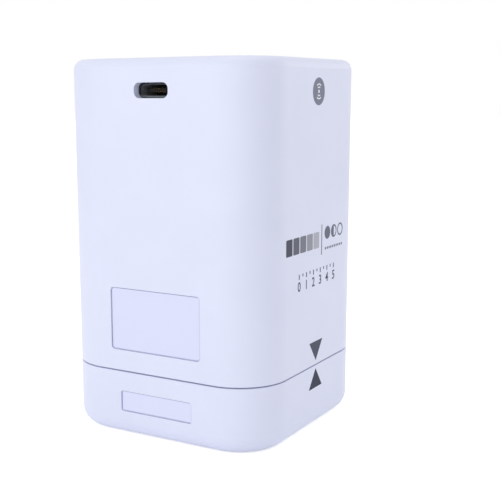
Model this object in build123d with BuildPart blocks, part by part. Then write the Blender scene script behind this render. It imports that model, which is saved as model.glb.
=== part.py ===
from build123d import *
import os
from math import cos, radians, sin, sqrt, tan

# A palm-size colour spectrophotometer that stands upright on its calibration cap.
# The origin is at the middle of the cap's underside. +Z is up. The rear face, with the charging
# socket and the label recess, looks along -Y, and the face with the alignment marks along +X.
# The instrument lifts off the cap along +Z. All sizes are in millimetres.

# Outer casing
body_width = 56.5
body_depth = 56.5
overall_height = 90.0
corner_radius = 12.4
top_round = 2.5
foot_round = 4.2
side_wall = 2.0
top_wall = 2.4
rim_round = 0.2

# Split between the instrument and the cap
cap_height = 16.15
parting_gap = 0.3
cap_wall = 2.2
cap_floor = 2.0
nose_reach = 3.2
nose_clearance = 0.25
slip_fit = 0.15

# Base plate, which closes the casing and carries the optics
base_wall = 1.8
base_floor = 2.2
base_flange = 3.0
column_inset = 7.65
column_radius = 2.75
column_web = 1.6
seat_radius = 3.0

# Magnets that hold the cap on
magnet_radius = 3.0
magnet_height = 2.0
magnet_skin = 0.6
magnet_rim = 1.0

# Measuring aperture
aperture_radius = 4.0
aperture_land = 1.0
aperture_proud = 0.45
aperture_flange = 1.0
aperture_flange_radius = 11.0
aperture_neck_wall = 1.5
aperture_chamfer = 0.35
seal_thickness = 0.5
neck_proud = 0.6

# White tile and its tray in the cap
tile_thickness = 5.0
tile_gap = 0.05
pad_thickness = 1.5
tray_plate = 2.2
tray_skin = 1.2
tile_ring_thickness = 0.5
tile_ring_gap = 0.6
tile_ring_lap = 1.4
tray_screw_inset = 10.0
tray_boss_radius = 2.6

# Integrating sphere
sphere_radius = 16.0
sphere_wall = 2.0
sample_port_radius = 6.5
port_land = 2.0
port_land_width = 2.5
flange_thickness = 2.0
flange_rim = 2.0
ear_radius = 3.2
pillar_radius = 2.9
sphere_roof = 3.5

# Light-emitting diodes above the sphere
led_count = 6
led_circle_radius = 12.0
led_size = 2.8
led_height = 0.9
led_hole_radius = 2.3
led_board_thickness = 1.0
led_board_margin = 0.5

# Viewing optics, tilted from the vertical
view_tilt = 8.0
barrel_radius = 5.0
sensor_headroom = 10.3
barrel_neck_radius = 3.9
barrel_neck = 2.0
barrel_seat = 1.8
barrel_bore = 2.8
barrel_head = 13.0
barrel_head_height = 3.0
lens_radius = 4.0
lens_edge = 1.6
lens_crown = 0.5
lens_seat = 3.0
stop_gap = 2.0
spacer_wall = 0.8
stop_thickness = 0.5
stop_hole_radius = 0.9
sensor_board_thickness = 1.2
sensor_size = 4.0
sensor_height = 0.9

# Main board and the standoffs that carry it
board_thickness = 1.6
board_margin = 0.75
board_corner_cut = 14.5
standoff_across = 4.0
standoff_gap = 0.5
standoff_stud = 6.0
standoff_hole = 5.0

# Charging socket in the rear face
socket_below_top = 7.3
socket_width = 8.94
socket_height = 3.16
socket_corner = 1.25
socket_length = 7.3
socket_metal = 0.3
socket_recess = 1.9
socket_gap = 0.17
tongue_width = 6.7
tongue_height = 0.7
tongue_length = 4.5
tongue_block = 1.2

# Label recesses in the rear face
body_label_width = 25.1
body_label_height = 15.2
body_label_z = 29.1
body_label_corner = 0.9
cap_label_width = 20.1
cap_label_height = 5.1
cap_label_z = 8.85
cap_label_corner = 0.5
label_recess = 0.5
label_thickness = 0.2
label_gap = 0.15

# Display in the top face
window_side_margin = 9.25
window_corner = 3.0
window_thickness = 1.0
window_margin = 6.75
view_side_border = 4.0
view_end_border = 2.5
adhesive_thickness = 0.15
panel_side_inset = 2.5
panel_end_inset = 0.8
panel_thickness = 1.8
panel_gap = 0.2
holder_plate = 1.0
holder_rim = 1.0
holder_rim_height = 0.5
holder_leg_radius = 1.5
holder_leg_side_inset = 6.5
holder_leg_end_inset = 3.7

# Keys in the top face
key_gap = 3.5
key_margin = 7.25
key_spacing = 3.0
key_length = 8.0
measure_key_width = 18.0
power_key_width = 9.0
key_corner = 2.0
key_clearance = 0.2
key_proud = 0.5
key_edge_round = 0.3
key_flange = 0.8
key_lip = 0.8
key_stem_radius = 2.0
switch_size = 4.5
switch_height = 3.0
plunger_radius = 1.5
plunger_rise = 1.3
plunger_depth = 0.6
plunger_gap = 0.1
plunger_bottom_gap = 0.9

# Battery beside the sphere
battery_column_gap = 0.65
battery_headroom = 5.0
battery_side_gap = 0.5
battery_round = 1.0
tray_gap = 0.4
tray_wall = 1.0
tray_shelf = 1.5
tray_overhang = 1.2
lead_radius = 0.55
lead_spacing = 2.0
lead_bend = 2.0
plug_length = 2.0
plug_width = 4.4
plug_height = 3.0
battery_socket_length = 4.0
battery_socket_x = -15.0

# Ribbon cables and their sockets
ribbon_thickness = 0.25
ribbon_width = 6.0
ribbon_socket_length = 3.5
ribbon_socket_height = 1.2
ribbon_reach = 4.5
ribbon_bend = 1.0
led_ribbon_bend = 2.0
led_ribbon_wall_gap = 4.5

# Screws
screw_head_radius = 1.9
screw_head_height = 1.3
screw_shank_radius = 1.1
screw_cross = 0.5
screw_cross_depth = 0.7
base_screw_length = 12.0
tray_screw_length = 6.5
board_screw_length = 5.0
stud_radius = 1.0
small_head_radius = 1.3
small_head_height = 0.8
small_shank_radius = 0.75
small_screw_length = 3.6
thread_gap = 0.05
hole_gap = 0.1
counterbore_gap = 0.2

# Heights, from the table upwards
shell_bottom = cap_height + parting_gap
nose_bottom = shell_bottom - nose_reach
base_floor_top = nose_bottom + base_floor
base_top = shell_bottom + base_flange
ceiling = overall_height - top_wall
aperture_bottom = nose_bottom - aperture_proud
aperture_top = base_floor_top + neck_proud
port_bottom = aperture_top + seal_thickness
port_rise = sqrt(sphere_radius**2 - sample_port_radius**2)
sphere_z = port_bottom + port_land + port_rise
flange_bottom = sphere_z - flange_thickness
flange_top = sphere_z + flange_thickness
roof_z = sphere_z + sphere_radius + sphere_roof
socket_z = overall_height - socket_below_top
board_top = socket_z - socket_height / 2
board_bottom = board_top - board_thickness
window_bottom = overall_height - window_thickness
panel_top = ceiling - panel_gap
panel_bottom = panel_top - panel_thickness
tile_top = aperture_bottom - tile_gap
tile_bottom = tile_top - tile_thickness
pad_bottom = tile_bottom - pad_thickness
tray_plate_bottom = nose_bottom - tray_plate
magnet_top_in_tray = nose_bottom - magnet_skin
magnet_bottom_in_base = nose_bottom + magnet_skin

# Outlines shared by pieces that fit each other
cap_inner_width = body_width - 2 * cap_wall
cap_inner_depth = body_depth - 2 * cap_wall
cap_inner_radius = corner_radius - cap_wall
shell_inner_width = body_width - 2 * side_wall
shell_inner_depth = body_depth - 2 * side_wall
shell_inner_radius = corner_radius - side_wall
nose_width = cap_inner_width - 2 * nose_clearance
nose_depth = cap_inner_depth - 2 * nose_clearance
nose_radius = cap_inner_radius - nose_clearance
neck_radius = sample_port_radius + aperture_neck_wall
tile_ring_inner = aperture_flange_radius + tile_ring_gap
tile_radius = tile_ring_inner + tile_ring_lap
tile_ring_outer = tile_radius + tile_ring_lap
sphere_outer = sphere_radius + sphere_wall
standoff_radius = standoff_across / sqrt(3)
ear_circle = sphere_outer + standoff_radius + standoff_gap
flange_radius = sphere_outer + flange_rim
land_radius = sample_port_radius + port_land_width
led_board_radius = sphere_outer - led_board_margin
magnet_inset = cap_wall + nose_clearance + base_wall + magnet_rim + magnet_radius

# Places in plan
window_width = body_width - 2 * window_side_margin
window_length = body_depth - window_margin - key_gap - key_length - key_margin
window_y = -body_depth / 2 + window_margin + window_length / 2
view_width = window_width - 2 * view_side_border
view_length = window_length - 2 * view_end_border
panel_width = window_width - 2 * panel_side_inset
panel_length = window_length - 2 * panel_end_inset
key_y = window_y + window_length / 2 + key_gap + key_length / 2
key_row = power_key_width + key_spacing + measure_key_width
power_key_x = -key_row / 2 + power_key_width / 2
measure_key_x = key_row / 2 - measure_key_width / 2
magnet_x = body_width / 2 - magnet_inset
magnet_y = body_depth / 2 - magnet_inset
magnet_places = [(magnet_x, 0), (0, magnet_y), (-magnet_x, 0), (0, -magnet_y)]
ear_offset = ear_circle / sqrt(2)
ear_places = [
    (ear_offset, ear_offset),
    (-ear_offset, ear_offset),
    (-ear_offset, -ear_offset),
    (ear_offset, -ear_offset),
]

os.makedirs("parts", exist_ok=True)


def save(piece, label):
    """Names a finished piece and writes it."""
    piece.part.label = label
    export_step(piece.part, f"parts/{label}.step")


def corners(inset):
    """The four points that lie inset from the casing's side faces, anticlockwise from +X +Y."""
    x = body_width / 2 - inset
    y = body_depth / 2 - inset
    return [(x, y), (-x, y), (-x, -y), (x, -y)]


def block(width, depth, radius, bottom, top, mode=Mode.ADD, centre=(0, 0)):
    """An upright block with rounded corners, between two heights, in the part being built."""
    with BuildSketch(Plane.XY.offset(bottom)) as outline:
        with Locations(centre):
            RectangleRounded(width, depth, radius)
    extrude(outline.sketch, amount=top - bottom, mode=mode)


def box(width, depth, bottom, top, mode=Mode.ADD, centre=(0, 0)):
    """An upright square-cornered block between two heights, in the part being built."""
    with BuildSketch(Plane.XY.offset(bottom)) as outline:
        with Locations(centre):
            Rectangle(width, depth)
    extrude(outline.sketch, amount=top - bottom, mode=mode)


def post(radius, bottom, top, mode=Mode.ADD, places=((0, 0),)):
    """An upright cylinder at each place, between two heights, in the part being built."""
    with BuildSketch(Plane.XY.offset(bottom)) as outline:
        with Locations(*places):
            Circle(radius)
    extrude(outline.sketch, amount=top - bottom, mode=mode)


def rear_face(height):
    """The plane of the casing's rear face, centred at a height, looking outwards."""
    return Plane(origin=(0, -body_depth / 2, height), x_dir=(1, 0, 0), z_dir=(0, -1, 0))


def turned_screw(head_radius, head_height, shank_radius, length):
    """A pan-head screw with its head above the origin and its shank below, with a cross recess."""
    with BuildPart() as screw:
        post(head_radius, 0, head_height)
        fillet(screw.faces().sort_by(Axis.Z)[-1].edges(), radius=head_height * 0.45)
        post(shank_radius, -length, 0)
        chamfer(screw.faces().sort_by(Axis.Z)[0].edges(), length=shank_radius * 0.4)
        for angle in (0, 90):
            with BuildSketch(Plane.XY.offset(head_height)) as slot:
                Rectangle(head_radius * 1.1, screw_cross, rotation=angle)
            extrude(slot.sketch, amount=-screw_cross_depth, mode=Mode.SUBTRACT)
    return screw.part


# Calibration cap

with BuildPart() as cap_shell:
    block(body_width, body_depth, corner_radius, 0, cap_height)
    fillet(cap_shell.faces().sort_by(Axis.Z)[0].edges(), radius=foot_round)
    fillet(cap_shell.faces().sort_by(Axis.Z)[-1].edges(), radius=rim_round)
    block(cap_inner_width, cap_inner_depth, cap_inner_radius, cap_floor, cap_height, Mode.SUBTRACT)
    post(tray_boss_radius, cap_floor, tray_plate_bottom, places=corners(tray_screw_inset))
    post(
        screw_shank_radius + thread_gap,
        tray_plate_bottom - tray_screw_length,
        tray_plate_bottom,
        Mode.SUBTRACT,
        corners(tray_screw_inset),
    )
    with BuildSketch(rear_face(cap_label_z)) as recess:
        RectangleRounded(cap_label_width, cap_label_height, cap_label_corner)
    extrude(recess.sketch, amount=-label_recess, mode=Mode.SUBTRACT)
save(cap_shell, "cap_shell")

with BuildPart() as cap_label:
    with BuildSketch(rear_face(cap_label_z).offset(-label_recess)) as outline:
        RectangleRounded(
            cap_label_width - 2 * label_gap,
            cap_label_height - 2 * label_gap,
            cap_label_corner,
        )
    extrude(outline.sketch, amount=label_thickness)
save(cap_label, "cap_label")

with BuildPart() as tile_tray:
    block(
        cap_inner_width - 2 * slip_fit,
        cap_inner_depth - 2 * slip_fit,
        cap_inner_radius - slip_fit,
        tray_plate_bottom,
        nose_bottom,
    )
    post(tile_radius + slip_fit + tray_skin, pad_bottom - tray_skin, tray_plate_bottom)
    post(
        magnet_radius + magnet_rim,
        magnet_top_in_tray - magnet_height,
        tray_plate_bottom,
        places=magnet_places,
    )
    post(
        magnet_radius,
        magnet_top_in_tray - magnet_height,
        magnet_top_in_tray,
        Mode.SUBTRACT,
        magnet_places,
    )
    post(tile_radius + slip_fit, pad_bottom, nose_bottom, Mode.SUBTRACT)
    post(tile_ring_outer + slip_fit, tile_top, nose_bottom, Mode.SUBTRACT)
    post(
        screw_shank_radius + hole_gap,
        tray_plate_bottom,
        nose_bottom,
        Mode.SUBTRACT,
        corners(tray_screw_inset),
    )
    post(
        screw_head_radius + counterbore_gap,
        nose_bottom - screw_head_height - hole_gap,
        nose_bottom,
        Mode.SUBTRACT,
        corners(tray_screw_inset),
    )
save(tile_tray, "tile_tray")

with BuildPart() as tile_pad:
    post(tile_radius - slip_fit, pad_bottom, tile_bottom)
save(tile_pad, "tile_pad")

with BuildPart() as white_tile:
    post(tile_radius, tile_bottom, tile_top)
    chamfer(white_tile.edges().filter_by(GeomType.CIRCLE), length=tile_ring_thickness / 2)
save(white_tile, "white_tile")

with BuildPart() as tile_ring:
    post(tile_ring_outer, tile_top, tile_top + tile_ring_thickness)
    post(tile_ring_inner, tile_top, tile_top + tile_ring_thickness, Mode.SUBTRACT)
save(tile_ring, "tile_ring")

with BuildPart() as cap_magnets:
    post(magnet_radius, magnet_top_in_tray - magnet_height, magnet_top_in_tray, places=magnet_places)
save(cap_magnets, "cap_magnets")

casing_screw = turned_screw(screw_head_radius, screw_head_height, screw_shank_radius, tray_screw_length)

with BuildPart() as tray_screws:
    with Locations(*[(x, y, nose_bottom - screw_head_height - hole_gap) for x, y in corners(tray_screw_inset)]):
        add(casing_screw)
save(tray_screws, "tray_screws")

# Instrument casing

with BuildPart() as body_shell:
    block(body_width, body_depth, corner_radius, shell_bottom, overall_height)
    fillet(body_shell.faces().sort_by(Axis.Z)[-1].edges(), radius=top_round)
    fillet(body_shell.faces().sort_by(Axis.Z)[0].edges(), radius=rim_round)
    block(shell_inner_width, shell_inner_depth, shell_inner_radius, shell_bottom, ceiling, Mode.SUBTRACT)
    post(column_radius, base_top, ceiling, places=corners(column_inset))
    web_length = corner_radius - side_wall / 2 - (corner_radius - column_inset) * sqrt(2)
    with BuildSketch(Plane.XY.offset(base_top)) as webs:
        for turn, (x, y) in enumerate(corners(column_inset)):
            with Locations(Location((x, y, 0), (0, 0, 45 + 90 * turn))):
                Rectangle(web_length, column_web, align=(Align.MIN, Align.CENTER))
    extrude(webs.sketch, amount=ceiling - base_top)
    post(
        screw_shank_radius + thread_gap,
        base_top,
        base_top + base_screw_length,
        Mode.SUBTRACT,
        corners(column_inset),
    )
    block(
        window_width + 2 * slip_fit,
        window_length + 2 * slip_fit,
        window_corner + slip_fit,
        window_bottom - adhesive_thickness,
        overall_height,
        Mode.SUBTRACT,
        (0, window_y),
    )
    box(view_width, view_length, ceiling, window_bottom, Mode.SUBTRACT, (0, window_y))
    for key_x, key_width in ((power_key_x, power_key_width), (measure_key_x, measure_key_width)):
        block(
            key_width + 2 * key_clearance,
            key_length + 2 * key_clearance,
            key_corner + key_clearance,
            ceiling,
            overall_height,
            Mode.SUBTRACT,
            (key_x, key_y),
        )
    with BuildSketch(rear_face(socket_z)) as socket_hole:
        RectangleRounded(
            socket_width + 2 * socket_gap,
            socket_height + 2 * socket_gap,
            socket_corner + socket_gap,
        )
    extrude(socket_hole.sketch, amount=-side_wall, mode=Mode.SUBTRACT)
    with BuildSketch(rear_face(body_label_z)) as recess:
        RectangleRounded(body_label_width, body_label_height, body_label_corner)
    extrude(recess.sketch, amount=-label_recess, mode=Mode.SUBTRACT)
save(body_shell, "body_shell")

with BuildPart() as body_label:
    with BuildSketch(rear_face(body_label_z).offset(-label_recess)) as outline:
        RectangleRounded(
            body_label_width - 2 * label_gap,
            body_label_height - 2 * label_gap,
            body_label_corner,
        )
    extrude(outline.sketch, amount=label_thickness)
save(body_label, "body_label")

with BuildPart() as base_plate:
    block(nose_width, nose_depth, nose_radius, nose_bottom, shell_bottom)
    fillet(base_plate.faces().sort_by(Axis.Z)[0].edges(), radius=rim_round)
    block(
        shell_inner_width - 2 * slip_fit,
        shell_inner_depth - 2 * slip_fit,
        shell_inner_radius - slip_fit,
        shell_bottom,
        base_top,
    )
    block(
        nose_width - 2 * base_wall,
        nose_depth - 2 * base_wall,
        nose_radius - base_wall,
        base_floor_top,
        base_top,
        Mode.SUBTRACT,
    )
    post(seat_radius, base_floor_top, base_top, places=corners(column_inset))
    post(pillar_radius, base_floor_top, flange_bottom, places=ear_places)
    post(
        magnet_radius + magnet_rim,
        base_floor_top,
        magnet_bottom_in_base + magnet_height,
        places=magnet_places,
    )
    post(
        magnet_radius,
        magnet_bottom_in_base,
        magnet_bottom_in_base + magnet_height,
        Mode.SUBTRACT,
        magnet_places,
    )
    post(
        aperture_flange_radius + slip_fit,
        nose_bottom,
        nose_bottom + aperture_flange,
        Mode.SUBTRACT,
    )
    post(neck_radius + slip_fit, nose_bottom, base_floor_top, Mode.SUBTRACT)
    post(
        screw_shank_radius + hole_gap,
        nose_bottom,
        base_top,
        Mode.SUBTRACT,
        corners(column_inset),
    )
    post(
        screw_head_radius + counterbore_gap,
        nose_bottom,
        nose_bottom + screw_head_height + hole_gap,
        Mode.SUBTRACT,
        corners(column_inset),
    )
    post(
        stud_radius + thread_gap,
        flange_bottom - standoff_stud - hole_gap,
        flange_bottom,
        Mode.SUBTRACT,
        ear_places,
    )
save(base_plate, "base_plate")

base_screw = turned_screw(screw_head_radius, screw_head_height, screw_shank_radius, base_screw_length)

with BuildPart() as base_screws:
    head_seat = nose_bottom + screw_head_height + hole_gap
    with Locations(*[Location((x, y, head_seat), (180, 0, 0)) for x, y in corners(column_inset)]):
        add(base_screw)
save(base_screws, "base_screws")

with BuildPart() as body_magnets:
    post(
        magnet_radius,
        magnet_bottom_in_base,
        magnet_bottom_in_base + magnet_height,
        places=magnet_places,
    )
save(body_magnets, "body_magnets")

# The ring that touches the sample: a straight land, then a cone that opens towards the sphere.
with BuildPart() as aperture_ring:
    with BuildSketch(Plane.XZ) as profile:
        with BuildLine():
            Polyline(
                (aperture_radius, aperture_bottom),
                (aperture_flange_radius - aperture_chamfer, aperture_bottom),
                (aperture_flange_radius, aperture_bottom + aperture_chamfer),
                (aperture_flange_radius, nose_bottom + aperture_flange),
                (neck_radius, nose_bottom + aperture_flange),
                (neck_radius, aperture_top),
                (sample_port_radius, aperture_top),
                (aperture_radius, aperture_bottom + aperture_land),
                close=True,
            )
        make_face()
    revolve(profile.sketch, axis=Axis.Z)
save(aperture_ring, "aperture_ring")

with BuildPart() as light_seal:
    post(neck_radius, aperture_top, port_bottom)
    post(sample_port_radius + slip_fit, aperture_top, port_bottom, Mode.SUBTRACT)
save(light_seal, "light_seal")

# Integrating sphere, in two halves that meet at the equator

with BuildPart() as sphere_lower:
    with Locations((0, 0, sphere_z)):
        Sphere(sphere_outer)
    split(bisect_by=Plane.XY.offset(sphere_z), keep=Keep.BOTTOM)
    split(bisect_by=Plane.XY.offset(port_bottom), keep=Keep.TOP)
    post(land_radius, port_bottom, port_bottom + port_land)
    post(flange_radius, flange_bottom, sphere_z)
    post(ear_radius, flange_bottom, sphere_z, places=ear_places)
    with Locations((0, 0, sphere_z)):
        Sphere(sphere_radius, mode=Mode.SUBTRACT)
    post(sample_port_radius, port_bottom, sphere_z, Mode.SUBTRACT)
    post(stud_radius + hole_gap, flange_bottom, sphere_z, Mode.SUBTRACT, ear_places)
save(sphere_lower, "sphere_lower")

# The viewing axis starts at the sample and leans towards +X. Its plane lies at the barrel's seat.
lean = radians(view_tilt)
seat_distance = (roof_z - aperture_bottom) / cos(lean) - barrel_seat
head_distance = (board_bottom - sensor_headroom - aperture_bottom) / cos(lean)
barrel_length = head_distance - barrel_head_height - seat_distance
barrel_plane = Plane(
    origin=(seat_distance * sin(lean), 0, aperture_bottom + seat_distance * cos(lean)),
    x_dir=(cos(lean), 0, -sin(lean)),
    z_dir=(sin(lean), 0, cos(lean)),
)
barrel_x = (roof_z - aperture_bottom) * tan(lean)


def along_barrel(radius, start, end, mode=Mode.ADD):
    """A cylinder on the viewing axis, between two distances from the barrel's seat."""
    with BuildSketch(barrel_plane.offset(start)) as outline:
        Circle(radius)
    extrude(outline.sketch, amount=end - start, mode=mode)


with BuildPart() as sphere_upper:
    post(flange_radius, sphere_z, flange_top)
    post(ear_radius, sphere_z, flange_top, places=ear_places)
    post(sphere_outer, sphere_z, roof_z)
    with Locations((0, 0, sphere_z)):
        Sphere(sphere_radius, mode=Mode.SUBTRACT)
    with BuildSketch(Plane.XY.offset(sphere_z)) as led_holes:
        with PolarLocations(led_circle_radius, led_count, start_angle=180 / led_count):
            Circle(led_hole_radius)
    extrude(led_holes.sketch, amount=roof_z - sphere_z, mode=Mode.SUBTRACT)
    along_barrel(barrel_radius + slip_fit, 0, barrel_seat * 2, Mode.SUBTRACT)
    along_barrel(barrel_neck_radius + slip_fit, -sphere_radius, 0, Mode.SUBTRACT)
    led_screw_x = led_board_radius - small_head_radius - led_board_margin
    post(
        small_shank_radius + thread_gap,
        roof_z - small_screw_length,
        roof_z,
        Mode.SUBTRACT,
        ((led_screw_x, 0), (-led_screw_x, 0)),
    )
    post(stud_radius + hole_gap, sphere_z, flange_top, Mode.SUBTRACT, ear_places)
save(sphere_upper, "sphere_upper")

with BuildPart() as led_ring_board:
    post(led_board_radius, roof_z, roof_z + led_board_thickness)
    post(
        barrel_radius + led_board_margin,
        roof_z,
        roof_z + led_board_thickness,
        Mode.SUBTRACT,
        ((barrel_x, 0),),
    )
    post(
        small_shank_radius + hole_gap,
        roof_z,
        roof_z + led_board_thickness,
        Mode.SUBTRACT,
        ((led_screw_x, 0), (-led_screw_x, 0)),
    )
save(led_ring_board, "led_ring_board")

with BuildPart() as leds:
    with BuildSketch(Plane.XY.offset(roof_z - led_height)) as dice:
        with PolarLocations(led_circle_radius, led_count, start_angle=180 / led_count):
            Rectangle(led_size, led_size)
    extrude(dice.sketch, amount=led_height)
save(leds, "leds")

small_screw = turned_screw(small_head_radius, small_head_height, small_shank_radius, small_screw_length)

with BuildPart() as led_screws:
    with Locations(
        (led_screw_x, 0, roof_z + led_board_thickness),
        (-led_screw_x, 0, roof_z + led_board_thickness),
    ):
        add(small_screw)
save(led_screws, "led_screws")

# Viewing optics

head_start = barrel_length
head_end = barrel_length + barrel_head_height
screw_offset = barrel_head / 2 - small_head_radius
spacer_start = lens_seat + lens_edge
stop_start = head_end - stop_gap - stop_thickness

with BuildPart() as lens_barrel:
    along_barrel(barrel_neck_radius, -barrel_neck, 0)
    along_barrel(barrel_radius, 0, head_start)
    with BuildSketch(barrel_plane.offset(head_start)) as head:
        RectangleRounded(barrel_head, barrel_head, small_head_radius)
    extrude(head.sketch, amount=barrel_head_height)
    along_barrel(barrel_bore, -barrel_neck, lens_seat, Mode.SUBTRACT)
    along_barrel(lens_radius + thread_gap, lens_seat, head_end, Mode.SUBTRACT)
    with BuildSketch(barrel_plane.offset(head_end)) as pilots:
        with Locations((screw_offset, screw_offset), (-screw_offset, -screw_offset)):
            Circle(small_shank_radius + thread_gap)
    extrude(pilots.sketch, amount=-small_screw_length + sensor_board_thickness, mode=Mode.SUBTRACT)
save(lens_barrel, "lens_barrel")

# A plano-convex lens: a flat rim with a dome inside it
lens_curve = (barrel_bore**2 + lens_crown**2) / (2 * lens_crown)

with BuildPart() as upright_lens:
    post(barrel_bore, 0, lens_edge + lens_crown)
    with Locations((0, 0, lens_edge + lens_crown - lens_curve)):
        Sphere(lens_curve, mode=Mode.INTERSECT)
    post(lens_radius, 0, lens_edge)

with BuildPart() as collecting_lens:
    with Locations(barrel_plane.offset(lens_seat).location):
        add(upright_lens.part)
save(collecting_lens, "collecting_lens")

with BuildPart() as lens_spacer:
    along_barrel(lens_radius, spacer_start, stop_start)
    along_barrel(lens_radius - spacer_wall, spacer_start, stop_start, Mode.SUBTRACT)
save(lens_spacer, "lens_spacer")

with BuildPart() as field_stop:
    along_barrel(lens_radius, stop_start, stop_start + stop_thickness)
    along_barrel(stop_hole_radius, stop_start, stop_start + stop_thickness, Mode.SUBTRACT)
save(field_stop, "field_stop")

with BuildPart() as sensor_board:
    with BuildSketch(barrel_plane.offset(head_end)) as outline:
        RectangleRounded(barrel_head, barrel_head, small_head_radius)
        with Locations((screw_offset, screw_offset), (-screw_offset, -screw_offset)):
            Circle(small_shank_radius + hole_gap, mode=Mode.SUBTRACT)
    extrude(outline.sketch, amount=sensor_board_thickness)
save(sensor_board, "sensor_board")

with BuildPart() as spectral_sensor:
    with BuildSketch(barrel_plane.offset(head_end)) as outline:
        Rectangle(sensor_size, sensor_size)
    extrude(outline.sketch, amount=-sensor_height)
save(spectral_sensor, "spectral_sensor")

board_face = barrel_plane.offset(head_end + sensor_board_thickness)

with BuildPart() as sensor_screws:
    with Locations(
        board_face.location * Location((screw_offset, screw_offset, 0)),
        board_face.location * Location((-screw_offset, -screw_offset, 0)),
    ):
        add(small_screw)
save(sensor_screws, "sensor_screws")

# Main board, standoffs and what is soldered to the board

board_width = shell_inner_width - 2 * board_margin
board_depth = shell_inner_depth - 2 * board_margin

with BuildPart() as main_board:
    with BuildSketch(Plane.XY.offset(board_bottom)) as outline:
        Rectangle(board_width, board_depth)
        chamfer(outline.vertices(), length=board_corner_cut)
        with Locations(*ear_places):
            Circle(stud_radius + hole_gap, mode=Mode.SUBTRACT)
    extrude(outline.sketch, amount=board_thickness)
save(main_board, "main_board")

with BuildPart() as board_standoffs:
    with BuildSketch(Plane.XY.offset(flange_top)) as hexagons:
        with Locations(*ear_places):
            RegularPolygon(standoff_across / 2, 6, major_radius=False)
    extrude(hexagons.sketch, amount=board_bottom - flange_top)
    post(stud_radius, flange_bottom - standoff_stud, flange_top, places=ear_places)
    post(
        stud_radius + thread_gap,
        board_bottom - standoff_hole,
        board_bottom,
        Mode.SUBTRACT,
        ear_places,
    )
save(board_standoffs, "board_standoffs")

board_screw = turned_screw(screw_head_radius, screw_head_height, stud_radius, board_screw_length)

with BuildPart() as board_screws:
    with Locations(*[(x, y, board_top) for x, y in ear_places]):
        add(board_screw)
save(board_screws, "board_screws")

mouth = rear_face(socket_z).offset(-socket_recess)

with BuildPart() as charging_socket:
    with BuildSketch(mouth) as tube:
        RectangleRounded(socket_width, socket_height, socket_corner)
        RectangleRounded(
            socket_width - 2 * socket_metal,
            socket_height - 2 * socket_metal,
            socket_corner - socket_metal,
            mode=Mode.SUBTRACT,
        )
    extrude(tube.sketch, amount=-socket_length)
save(charging_socket, "charging_socket")

with BuildPart() as socket_tongue:
    with BuildSketch(mouth.offset(-socket_length)) as back:
        RectangleRounded(
            socket_width - 2 * socket_metal,
            socket_height - 2 * socket_metal,
            socket_corner - socket_metal,
        )
    extrude(back.sketch, amount=tongue_block)
    with BuildSketch(mouth.offset(-socket_length)) as tongue:
        Rectangle(tongue_width, tongue_height)
    extrude(tongue.sketch, amount=tongue_block + tongue_length)
save(socket_tongue, "socket_tongue")

switch_places = ((power_key_x, key_y), (measure_key_x, key_y))
switch_top = board_top + switch_height
plunger_top = switch_top + plunger_rise
plunger_bottom = switch_top - plunger_depth

with BuildPart() as key_switches:
    for place in switch_places:
        box(switch_size, switch_size, board_top, switch_top, centre=place)
    post(
        plunger_radius + plunger_gap,
        plunger_bottom - plunger_bottom_gap,
        switch_top,
        Mode.SUBTRACT,
        switch_places,
    )
save(key_switches, "key_switches")

# Chips on the board's upper face: a processor, a memory, a crystal, a charger, a coil and a driver
processor_size = 7.0
processor_height = 0.9
memory_width = 4.0
memory_depth = 5.0
memory_height = 0.8
crystal_width = 3.2
crystal_depth = 2.5
crystal_height = 0.7
charger_size = 3.0
charger_height = 0.9
coil_size = 3.0
coil_height = 1.4
driver_width = 3.0
driver_depth = 4.4
driver_height = 0.8
chip_spacing = 3.0
chip_setback = 3.0
power_chip_gap = 1.8
power_chip_setback = 15.0

processor_y = window_y - chip_setback
memory_x = processor_size / 2 + chip_spacing + memory_width / 2
crystal_x = -processor_size / 2 - chip_spacing - crystal_width / 2
power_y = window_y - power_chip_setback
charger_x = socket_width / 2 + power_chip_gap + charger_size / 2
coil_x = -socket_width / 2 - power_chip_gap - coil_size / 2
driver_x = (power_key_x + measure_key_x) / 2

with BuildPart() as board_chips:
    box(processor_size, processor_size, board_top, board_top + processor_height, centre=(0, processor_y))
    box(memory_width, memory_depth, board_top, board_top + memory_height, centre=(memory_x, processor_y))
    box(crystal_width, crystal_depth, board_top, board_top + crystal_height, centre=(crystal_x, processor_y))
    box(charger_size, charger_size, board_top, board_top + charger_height, centre=(charger_x, power_y))
    box(coil_size, coil_size, board_top, board_top + coil_height, centre=(coil_x, power_y))
    box(driver_width, driver_depth, board_top, board_top + driver_height, centre=(driver_x, key_y))
save(board_chips, "board_chips")

# A pressed can over the radio, open towards the board
shield_width = 9.0
shield_depth = 13.0
shield_edge_gap = 3.0
shield_offset = 8.5
shield_x = board_width / 2 - shield_edge_gap - shield_width / 2
shield_y = window_y + shield_offset
shield_height = 1.7
shield_metal = 0.2

with BuildPart() as radio_shield:
    box(shield_width, shield_depth, board_top, board_top + shield_height, centre=(shield_x, shield_y))
    box(
        shield_width - 2 * shield_metal,
        shield_depth - 2 * shield_metal,
        board_top,
        board_top + shield_height - shield_metal,
        Mode.SUBTRACT,
        (shield_x, shield_y),
    )
save(radio_shield, "radio_shield")

# Display stack, hung under the top face

with BuildPart() as display_window:
    block(
        window_width,
        window_length,
        window_corner,
        window_bottom,
        overall_height,
        centre=(0, window_y),
    )
    chamfer(display_window.faces().sort_by(Axis.Z)[-1].edges(), length=rim_round)
save(display_window, "display_window")

with BuildPart() as window_adhesive:
    block(
        window_width,
        window_length,
        window_corner,
        window_bottom - adhesive_thickness,
        window_bottom,
        centre=(0, window_y),
    )
    box(
        view_width,
        view_length,
        window_bottom - adhesive_thickness,
        window_bottom,
        Mode.SUBTRACT,
        (0, window_y),
    )
save(window_adhesive, "window_adhesive")

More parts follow.
